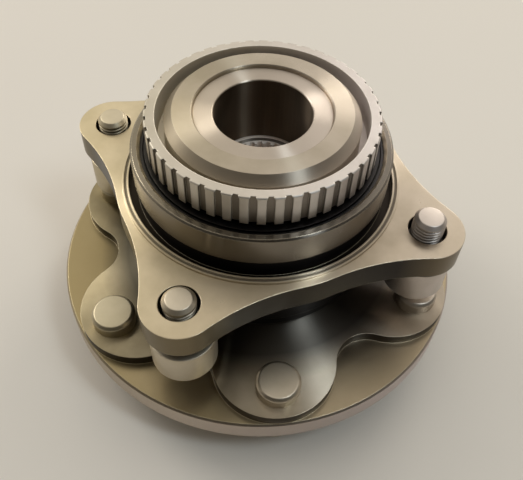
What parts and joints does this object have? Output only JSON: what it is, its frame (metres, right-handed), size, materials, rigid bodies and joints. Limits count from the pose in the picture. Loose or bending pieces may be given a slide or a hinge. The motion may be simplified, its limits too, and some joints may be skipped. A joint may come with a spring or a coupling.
{
  "type": "wheel hub bearing",
  "caption": "Flanged wheel hub turning on a sealed tapered roller bearing, with wheel studs, a lobed knuckle flange with captive bolts and a toothed speed ring.",
  "frame": {"origin": "centre of the wheel's seat face on the wheel flange", "axes": "+Z along the spin axis from the wheel side to the knuckle side, +X through a knuckle bolt and a wheel stud"},
  "size_m": [0.1654, 0.1654, 0.1076],
  "materials": {
    "hub_steel": "turned and forged steel",
    "ring_steel": "forged steel with ground seats",
    "tone_steel": "satin steel",
    "bearing_steel": "ground bearing steel",
    "cage_steel": "pressed steel",
    "seal_steel": "pressed steel",
    "seal_rubber": "moulded rubber",
    "stud_steel": "plated steel",
    "bolt_steel": "plated steel"
  },
  "bodies": {
    "carrier": {"outer_ring": "ring_steel", "seal_case_inboard": "seal_steel", "seal_case_outboard": "seal_steel", "seal_lip_inboard": "seal_rubber", "seal_lip_outboard": "seal_rubber"},
    "hub": {"hub_flange": "hub_steel", "tone_ring": "tone_steel", "inner_ring_inboard": "bearing_steel", "inner_ring_outboard": "bearing_steel", "slinger_inboard": "seal_steel", "slinger_outboard": "seal_steel", "wheel_stud_1": "stud_steel", "wheel_stud_2": "stud_steel", "wheel_stud_3": "stud_steel", "wheel_stud_4": "stud_steel", "wheel_stud_5": "stud_steel", "wheel_stud_6": "stud_steel"},
    "roller_set_inboard": {"rollers_inboard": "bearing_steel", "cage_inboard": "cage_steel"},
    "roller_set_outboard": {"rollers_outboard": "bearing_steel", "cage_outboard": "cage_steel"},
    "bolt_1": {"knuckle_bolt_1": "bolt_steel"},
    "bolt_2": {"knuckle_bolt_2": "bolt_steel"},
    "bolt_3": {"knuckle_bolt_3": "bolt_steel"},
    "bolt_4": {"knuckle_bolt_4": "bolt_steel"}
  },
  "joints": [
    {"name": "hub_spin", "type": "hinge", "parent": "carrier", "child": "hub", "pos_m": [0, 0, 0.0473], "axis": [0, 0, 1], "continuous": true},
    {"name": "roller_set_inboard_spin", "type": "hinge", "parent": "carrier", "child": "roller_set_inboard", "pos_m": [0, 0, 0.0473], "axis": [0, 0, 1], "continuous": true},
    {"name": "roller_set_outboard_spin", "type": "hinge", "parent": "carrier", "child": "roller_set_outboard", "pos_m": [0, 0, 0.0473], "axis": [0, 0, 1], "continuous": true},
    {"name": "bolt_1_slide", "type": "slide", "parent": "carrier", "child": "bolt_1", "axis": [0, 0, 1], "range_m": [-0.007, 0.00155]},
    {"name": "bolt_2_slide", "type": "slide", "parent": "carrier", "child": "bolt_2", "axis": [0, 0, 1], "range_m": [-0.0045, 0.00405]},
    {"name": "bolt_3_slide", "type": "slide", "parent": "carrier", "child": "bolt_3", "axis": [0, 0, 1], "range_m": [-0.004, 0.00455]},
    {"name": "bolt_4_slide", "type": "slide", "parent": "carrier", "child": "bolt_4", "axis": [0, 0, 1], "range_m": [-0.003, 0.00555]}
  ],
  "couplings": [
    {"joint": "roller_set_inboard_spin", "follows": "hub_spin", "ratio": 0.44237},
    {"joint": "roller_set_outboard_spin", "follows": "hub_spin", "ratio": 0.44237}
  ]
}
